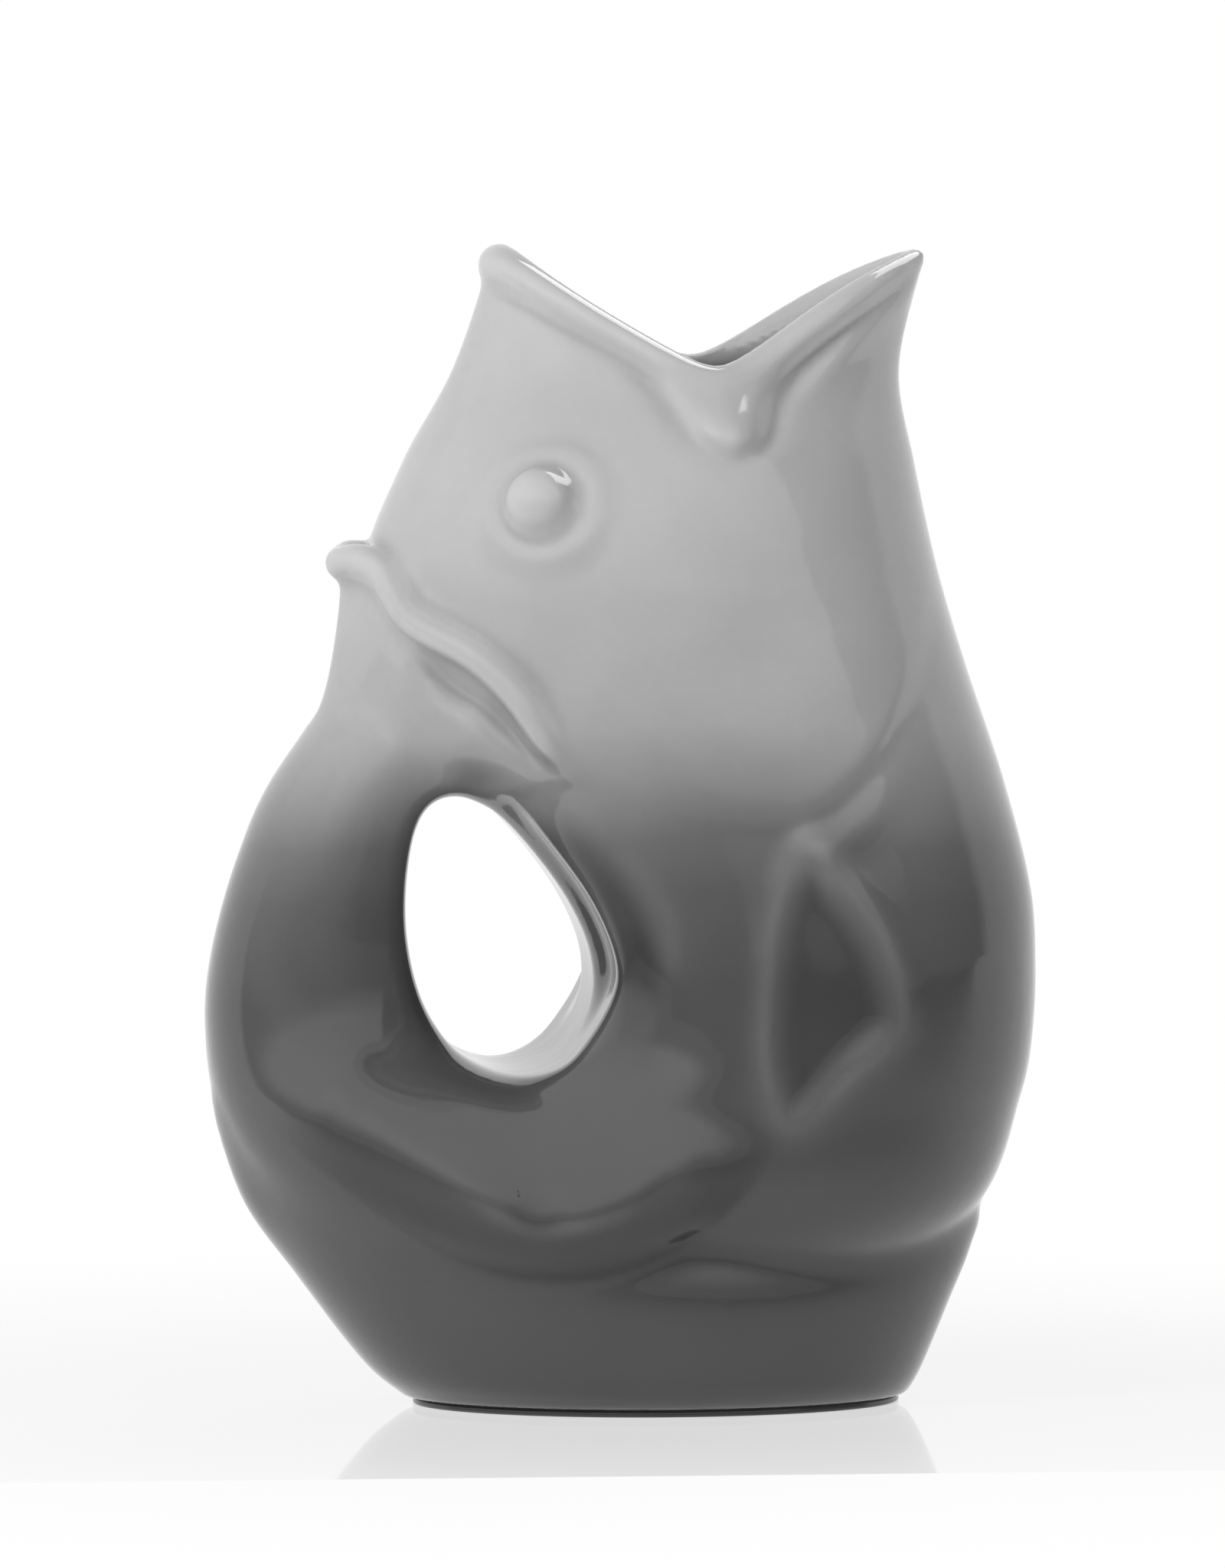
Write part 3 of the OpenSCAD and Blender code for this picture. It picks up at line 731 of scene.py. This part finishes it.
def lift(piece, chosen):
    """Takes a patch of a piece's skin off as a thin closed shell, and leaves a recess of the same form."""
    # Faces are added to the patch where its edge would meet itself in a point.
    for _ in range(4):
        count = {}
        for k, f in enumerate(piece.faces):
            if chosen[k]:
                for a, b in zip(f, f[1:] + f[:1]):
                    key = (min(a, b), max(a, b))
                    count.setdefault(key, []).append((a, b))
        rim = [v[0] for v in count.values() if len(v) == 1]
        meets = {}
        for a, b in rim:
            meets[a] = meets.get(a, 0) + 1
            meets[b] = meets.get(b, 0) + 1
        knots = {v for v, n in meets.items() if n > 2}
        if not knots:
            break
        for k, f in enumerate(piece.faces):
            if not chosen[k] and not piece.hidden[k] and knots.intersection(f):
                chosen[k] = True
    used = sorted({v for k, f in enumerate(piece.faces) if chosen[k] for v in f})
    n = len(piece.points)
    under = {v: n + i for i, v in enumerate(used)}
    lowered = piece.points[used] - PATCH_DEPTH * normals_at(piece.points[used])
    points = np.concatenate([piece.points, lowered])
    patch, patch_hidden, rest, rest_hidden = [], [], [], []
    for k, f in enumerate(piece.faces):
        if chosen[k]:
            low = [under[v] for v in f]
            patch += [f, low[::-1]]
            patch_hidden += [False, True]
            rest.append(low)
            rest_hidden.append(True)
        else:
            rest.append(f)
            rest_hidden.append(piece.hidden[k])
    for a, b in rim:
        patch.append([b, a, under[a], under[b]])
        patch_hidden.append(True)
        rest.append([a, b, under[b], under[a]])
        rest_hidden.append(True)
    return tidy(points, patch, patch_hidden), tidy(points, rest, rest_hidden)


def tidy(points, faces, hidden):
    """A piece that has only the points that its faces use."""
    used = sorted({v for f in faces for v in f})
    new = {v: i for i, v in enumerate(used)}
    return Piece(points[used], [[new[v] for v in f] for f in faces], hidden)


def faces_where(piece, test):
    """Faces of the outer skin whose middle passes the test."""
    sizes = np.array([len(f) for f in piece.faces])
    owner = np.repeat(np.arange(len(sizes)), sizes)
    flat = np.concatenate([np.array(f) for f in piece.faces])
    middle = np.zeros((len(sizes), 3))
    np.add.at(middle, owner, piece.points[flat])
    middle /= sizes[:, None]
    return list(test(middle, normals_at(middle)) & ~np.array(piece.hidden))


def line_sample(line, middle, closed=False):
    """Signed distance from a curve seen from the side, at points."""
    values, _ = side_line(line, 120, closed)
    wide = np.repeat(values, COUNT[1], 1)
    return sample(wide, middle)


pieces = {name: piece_of(group) for name, group in groups.items()}


def is_fluke(middle, _):
    """Whether faces lie behind the fluke's seam and stand out from the plain fish."""
    inside_line = line_sample(FLUKE_SEAM, middle) < 0
    level = (middle[:, 2] > 137) & (middle[:, 2] < 198)
    return inside_line & (sample(fish_field, middle) > 0.9) & level


pieces["tail_fin"], pieces["body_shell"] = lift(
    pieces["body_shell"], faces_where(pieces["body_shell"], is_fluke))
for name, sign in (("left", 1), ("right", -1)):
    centre = side_point(EYE[0], EYE[1], sign)
    pieces[name + "_eye"], pieces["body_shell"] = lift(pieces["body_shell"], faces_where(
        pieces["body_shell"],
        lambda m, n: (np.linalg.norm(m - centre, axis=1) < EYE_PATCH_R) & (n[:, 1] * sign > 0)))
    pieces[name + "_fin"], pieces["body_shell"] = lift(pieces["body_shell"], faces_where(
        pieces["body_shell"],
        lambda m, n: (line_sample(FIN_SIDE, m, True) > -4) & (np.abs(m[:, 2] - FIN_Z + 32) < 40)
        & (m[:, 1] * sign > 15) & (n[:, 1] * sign > 0)))


def inside_share(points):
    """How far points belong to the inside of the wall: deep in it, or turned in at the rim."""
    turned = -(normals_at(points) * unit(sample(fish_slope, points))).sum(1)
    turned = smooth_step(0.0, 0.4, turned) * (points[:, 2] > 200)
    return np.maximum(turned, smooth_step(2.0, 3.5, -sample(fish_field, points)))


def build(name, piece):
    """The Blender object of a piece, with the casting's own normals so that no seam shows."""
    mesh = bpy.data.meshes.new(name)
    mesh.from_pydata((piece.points / 1000).tolist(), [], piece.faces)
    mesh.polygons.foreach_set("use_smooth", np.ones(len(piece.faces), bool))
    sizes = np.array([len(f) for f in piece.faces])
    owner = np.repeat(np.arange(len(sizes)), sizes)
    corner = np.zeros(len(mesh.loops), np.int32)
    mesh.loops.foreach_get("vertex_index", corner)
    flat = np.zeros(len(piece.faces) * 3)
    mesh.polygons.foreach_get("normal", flat)
    hidden = np.array(piece.hidden)[owner]
    normals = np.where(hidden[:, None], flat.reshape(-1, 3)[owner], normals_at(piece.points)[corner])
    mesh.normals_split_custom_set(normals.tolist())
    for title, values in (("glaze_break", sample(bend, piece.points)),
                          ("painted_shading_layer", sample(painted_shading_field, piece.points)),
                          ("inner", inside_share(piece.points))):
        mesh.attributes.new(title, "FLOAT", "POINT").data.foreach_set("value", values.astype(np.float32))
    item = bpy.data.objects.new(name, mesh)
    bpy.context.scene.collection.objects.link(item)
    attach(item, "root")
    return item


made = {}
for name, piece in pieces.items():
    made[name] = build(name + "_glazed", piece)
    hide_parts(name)


def srgb(v):
    """The amount of light in a brightness as screens show it."""
    return v / 12.92 if v <= 0.04045 else ((v + 0.055) / 1.055) ** 2.4


class Graph:
    """A short way to write a material's nodes."""

    def __init__(self, owner):
        owner.use_nodes = True
        self.nodes, self.links = owner.node_tree.nodes, owner.node_tree.links

    def add(self, kind, **settings):
        node = self.nodes.new("ShaderNode" + kind)
        for key, value in settings.items():
            setattr(node, key, value)
        return node

    def join(self, source, node, socket):
        """Links a value to a node's input, or sets the input where the value is a constant."""
        if isinstance(source, (int, float, tuple)):
            node.inputs[socket].default_value = source
        else:
            self.links.new(source, node.inputs[socket])

    def math(self, operation, *values):
        node = self.add("Math", operation=operation)
        for k, value in enumerate(values):
            self.join(value, node, k)
        return node.outputs[0]

    def span(self, value, low, high, start=0.0, end=1.0):
        """Goes smoothly from start to end as the value goes from low to high."""
        node = self.add("MapRange", interpolation_type="SMOOTHSTEP")
        self.join(value, node, "Value")
        for socket, number in (("From Min", low), ("From Max", high), ("To Min", start), ("To Max", end)):
            node.inputs[socket].default_value = number
        return node.outputs[0]

    def mix(self, factor, first, second):
        node = self.add("MixShader")
        self.join(factor, node, 0)
        self.links.new(first, node.inputs[1])
        self.links.new(second, node.inputs[2])
        return node.outputs[0]

    def seen(self):
        """1 for the rays that show the background: straight from the camera, off gloss and through glass.

        Returned with the node that tells the rays apart."""
        path = self.add("LightPath")
        bright = self.math("MAXIMUM", path.outputs["Is Camera Ray"], path.outputs["Is Glossy Ray"])
        return self.math("MAXIMUM", bright, path.outputs["Is Transmission Ray"]), path


# Brightness of the glaze as screens show it, by height in millimetres.
STOPS = [(0, 0.28), (30, 0.3), (60, 0.315), (90, 0.305), (112, 0.345), (124, 0.4), (138, 0.54), (150, 0.62),
         (172, 0.665), (210, 0.69), (262, 0.7)]
STOPS_TOP = STOPS[-1][0]


def ramp(g, value, stops, top):
    """Greys that change with a value, whose stops are given up to a top."""
    node = g.add("ValToRGB")
    g.join(value, node, 0)
    bar = node.color_ramp
    while len(bar.elements) > 1:
        bar.elements.remove(bar.elements[0])
    for k, (at, tone) in enumerate(stops):
        stop = bar.elements[0] if k == 0 else bar.elements.new(at / top)
        stop.position = at / top
        stop.color = (srgb(tone), srgb(tone), srgb(tone), 1)
    return node.outputs[0]


glaze = bpy.data.materials.new("glaze")
g = Graph(glaze)
shader = g.nodes["Principled BSDF"]
shader.inputs["IOR"].default_value = 1.5
place = g.add("TexCoord").outputs["Object"]
apart = g.add("SeparateXYZ")
g.join(place, apart, 0)


def noise(scale, detail):
    """Noise about 0 that keeps its place on the jug."""
    node = g.add("TexNoise")
    g.join(place, node, "Vector")
    node.inputs["Scale"].default_value = scale
    node.inputs["Detail"].default_value = detail
    return g.math("SUBTRACT", node.outputs["Fac"], 0.5)


# The dark glaze is sprayed over the light one: its edge is soft, a little uneven and higher on the flank.
height = g.math("MULTIPLY", apart.outputs["Z"], 1000)
flank = g.math("MULTIPLY", g.math("SUBTRACT", apart.outputs["X"], 0.022), 28.0)
flank = g.math("DIVIDE", 6.0, g.math("ADD", g.math("MULTIPLY", flank, flank), 1.0))
height = g.math("SUBTRACT", height, flank)
height = g.math("ADD", height, g.math("MULTIPLY", noise(18, 2), 9))
tone = ramp(g, g.math("DIVIDE", height, STOPS_TOP), STOPS, STOPS_TOP)
# Glaze runs thin and light off the ridges and gathers dark in the creases; painted shade darkens it under the
# swells and on the flank, painted light lightens it beside the opening, and the fins' bead and hollow are
# coloured lighter and darker.
ridges = g.add("Attribute", attribute_name="glaze_break")
thin = g.span(ridges.outputs["Fac"], 0.07, 0.3, 0.0, 0.3)
lighter = g.add("Mix", data_type="RGBA")
g.join(thin, lighter, "Factor")
g.join(tone, lighter, 6)
g.join((0.62, 0.62, 0.62, 1), lighter, 7)
thick = g.span(ridges.outputs["Fac"], -0.25, 0.0, -0.25, 0.0)
painted_shading_tone = g.math("MULTIPLY", g.add("Attribute", attribute_name="painted_shading_layer").outputs["Fac"], -0.5)
mottle = g.math("ADD", g.math("MULTIPLY", noise(55, 4), 0.1), g.math("MULTIPLY", noise(420, 3), 0.05))
factor = g.math("ADD", g.math("ADD", thick, painted_shading_tone), g.math("ADD", mottle, 1.0))
# Painted shade inside: the glaze colour is darker there, and more so deeper below the mouth.
inner = g.add("Attribute", attribute_name="inner")
deep = g.span(apart.outputs["Z"], 0.226, 0.26, 0.75, 0.25)
factor = g.math("MULTIPLY", factor, g.math("SUBTRACT", 1.0, g.math("MULTIPLY", inner.outputs["Fac"], deep)))
colour = g.add("VectorMath", operation="SCALE")
g.join(lighter.outputs[2], colour, 0)
g.join(factor, colour, "Scale")
g.join(colour.outputs[0], shader, "Base Color")
# The gloss varies a little, over a faint unevenness of the glaze.
rough = g.math("ADD", g.math("MULTIPLY", noise(90, 3), 0.06), 0.075)
g.join(rough, shader, "Roughness")
bump = g.add("Bump")
bump.inputs["Strength"].default_value = 0.25
bump.inputs["Distance"].default_value = 0.0004
g.join(g.math("ADD", noise(70, 2), g.math("MULTIPLY", noise(260, 2), 0.3)), bump, "Height")
g.join(bump.outputs[0], shader, "Normal")
for item in made.values():
    item.data.materials.append(glaze)


def foot_ring():
    """The ring that the jug stands on: rounded corners, glazed outside and wiped bare underneath."""
    corner = 0.55
    outer, inner = -RING_INSET, -RING_INSET - RING_W
    profile = [(outer - 0.2, RING_H + 0.3)]
    for middle, height, start in ((outer - corner, corner, 0), (inner + corner, corner, -90)):
        for k in range(6):
            a = math.radians(start - 18 * k)
            profile.append((middle + corner * math.cos(a), height + corner * math.sin(a)))
    profile.append((inner + 0.2, RING_H + 0.3))
    count = 180
    points, faces = [], []
    for k in range(count):
        c, s = math.cos(2 * math.pi * k / count), math.sin(2 * math.pi * k / count)
        for reach, height in profile:
            points.append(((FOOT_X + (FOOT_L / 2 + reach) * c) / 1000, (FOOT_W / 2 + reach) * s / 1000,
                           height / 1000))
    n = len(profile)
    for k in range(count):
        for j in range(n):
            a, b = k * n, (k + 1) % count * n
            faces.append((a + j, a + (j + 1) % n, b + (j + 1) % n, b + j))
    mesh = bpy.data.meshes.new("foot_ring_wiped")
    mesh.from_pydata(points, [], faces)
    mesh.polygons.foreach_set("use_smooth", np.ones(len(faces), bool))
    item = bpy.data.objects.new("foot_ring_wiped", mesh)
    bpy.context.scene.collection.objects.link(item)
    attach(item, "root")
    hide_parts("foot_ring")
    return item


clay = bpy.data.materials.new("clay")
g = Graph(clay)
shader = g.nodes["Principled BSDF"]
place = g.add("TexCoord").outputs["Object"]
facing = g.add("SeparateXYZ")
g.join(g.add("NewGeometry").outputs["Normal"], facing, 0)
grain = g.add("TexNoise")
g.join(place, grain, "Vector")
grain.inputs["Scale"].default_value = 900.0
grain.inputs["Detail"].default_value = 6.0
# The ring is bare clay where it faces down, and has the dark glaze elsewhere.
bare = g.span(g.math("ADD", facing.outputs["Z"], g.math("MULTIPLY", grain.outputs["Fac"], 0.1)),
              -0.85, -0.7, 1.0, 0.0)
colour = g.add("Mix", data_type="RGBA")
g.join(bare, colour, "Factor")
clay_tone = ramp(g, grain.outputs["Fac"], [(0.3, 0.66), (0.7, 0.74)], 1.0)
g.join((0.055, 0.055, 0.055, 1), colour, 6)
g.join(clay_tone, colour, 7)
g.join(colour.outputs[2], shader, "Base Color")
g.join(g.span(bare, 0, 1, 0.12, 0.85), shader, "Roughness")
bump = g.add("Bump")
bump.inputs["Strength"].default_value = 0.4
bump.inputs["Distance"].default_value = 0.0003
g.join(g.math("MULTIPLY", grain.outputs["Fac"], bare), bump, "Height")
g.join(bump.outputs[0], shader, "Normal")
foot_ring().data.materials.append(clay)

# Floor, light and camera
floor_mesh = bpy.data.meshes.new("floor")
floor_mesh.from_pydata([(-6, -6, 0), (6, -6, 0), (6, 6, 0), (-6, 6, 0)], [], [(0, 1, 2, 3)])
floor = bpy.data.objects.new("floor", floor_mesh)
bpy.context.scene.collection.objects.link(floor)

white = bpy.data.materials.new("white_floor")
g = Graph(white)
place = g.add("NewGeometry").outputs["Position"]
apart = g.add("SeparateXYZ")
g.join(place, apart, 0)
gap = g.add("VectorMath", operation="LENGTH")
g.join(place, gap, 0)
# The floor shows as white, and near the jug a little of its shadow shows too.
near = g.span(gap.outputs["Value"], 0.07, 0.4, 1.0, 0.0)
seen, path = g.seen()
# In the jug's reflections the floor grows darker towards the camera.
front = g.math("DIVIDE", g.math("MINIMUM", apart.outputs["Y"], 0.0), 0.14)
front = g.math("DIVIDE", 1.0, g.math("ADD", g.math("MULTIPLY", front, front), 1.0))
front = g.math("MAXIMUM", front, g.math("SUBTRACT", 1.0, path.outputs["Is Glossy Ray"]))
matt = g.add("BsdfDiffuse")
matt.inputs["Color"].default_value = (0.86, 0.86, 0.86, 1)
glow = g.add("Emission")
g.join(front, glow, "Strength")
shadow_share = g.math("SUBTRACT", 1.0, g.math("MULTIPLY", near, 0.1))
surface = g.mix(g.math("MULTIPLY", seen, shadow_share), matt.outputs[0], glow.outputs[0])
# The floor has a faint reflection of the jug, which ends at an edge in front of it.
mirror = g.add("BsdfGlossy")
mirror.inputs["Roughness"].default_value = 0.04
fresnel = g.add("Fresnel")
fresnel.inputs["IOR"].default_value = 1.06
plate = g.math("GREATER_THAN", apart.outputs["Y"], -0.157)
shine = g.math("MULTIPLY", g.math("MULTIPLY", fresnel.outputs[0], near), plate)
g.join(g.mix(shine, surface, mirror.outputs[0]), g.nodes["Material Output"], "Surface")
g.nodes.remove(g.nodes["Principled BSDF"])
floor_mesh.materials.append(white)

world = bpy.data.worlds.new("studio")
bpy.context.scene.world = world
g = Graph(world)
seen, path = g.seen()
way = g.add("SeparateXYZ")
g.join(g.add("TexCoord").outputs["Generated"], way, 0)
# In reflections the camera's side of the studio is dim, and the white cloth starts beside the jug.
cloth = g.math("MAXIMUM", g.span(way.outputs["Y"], 0.03, 0.2, 0.25, 1.0),
               g.span(way.outputs["Z"], 0.5, 0.95, 0.0, 0.9))
# A wide soft light is reflected from the front and the left, above the level of the floor.
across = g.math("ADD", g.math("MULTIPLY", way.outputs["X"], 0.56),
                g.math("MULTIPLY", way.outputs["Y"], 0.83))
box = g.math("MULTIPLY", g.span(across, -0.04, 0.0, 1.2, 0.0),
             g.span(way.outputs["Z"], -0.02, 0.45, 0.0, 1.0))
cloth = g.math("MAXIMUM", cloth, box)
cloth = g.math("MAXIMUM", cloth, g.math("SUBTRACT", 1.0, path.outputs["Is Glossy Ray"]))
back = g.nodes["Background"]
back.inputs["Color"].default_value = (1, 1, 1, 1)
level = g.math("MULTIPLY", seen, cloth)
# All surfaces get an even soft light, a little stronger from the left.
left = g.math("SUBTRACT", 0.3, g.math("MULTIPLY", way.outputs["X"], 0.06))
fill = g.math("MULTIPLY", g.math("SUBTRACT", 1.0, seen), left)
g.join(g.math("ADD", level, fill), back, "Strength")

AZ = math.radians(-5.5)
EL = math.radians(4.1)
TARGET = Vector((0, 0, 0.125))
DISTANCE = 4.0
out = Vector((math.sin(AZ) * math.cos(EL), -math.cos(AZ) * math.cos(EL), math.sin(EL)))
camera = bpy.data.objects.new("camera", bpy.data.cameras.new("camera"))
camera.location = TARGET + out * DISTANCE
camera.rotation_euler = (-out).to_track_quat("-Z", "Y").to_euler()
camera.data.lens = 411.7
camera.data.sensor_width = 36
camera.data.shift_x = -0.0049
camera.data.shift_y = 0.038
bpy.context.scene.collection.objects.link(camera)
bpy.context.scene.camera = camera


def panel(name, place, size, power, glossy, diffuse):
    """A flat light turned to the jug, which only reflections show or which only lights the surfaces."""
    light = bpy.data.lights.new(name, "AREA")
    light.shape = "RECTANGLE"
    light.size, light.size_y = size
    light.energy = power
    lamp = bpy.data.objects.new(name, light)
    lamp.location = place
    lamp.rotation_euler = (Vector((0, 0, 0.14)) - Vector(place)).to_track_quat("-Z", "Y").to_euler()
    lamp.visible_glossy = glossy
    lamp.visible_diffuse = diffuse
    bpy.context.scene.collection.objects.link(lamp)


panel("key", (-1.4, -1.3, 1.2), (0.8, 0.8), 36, glossy=False, diffuse=True)
panel("back", (0.6, 1.3, 0.9), (0.8, 0.8), 12, glossy=False, diffuse=True)
panel("side", (1.3, -0.7, 0.1), (0.8, 0.8), 6.5, glossy=False, diffuse=True)
panel("top", (0.58, 0.4, 1.15), (1.0, 0.7), 11, glossy=True, diffuse=False)

bpy.context.scene.view_settings.view_transform = "Standard"
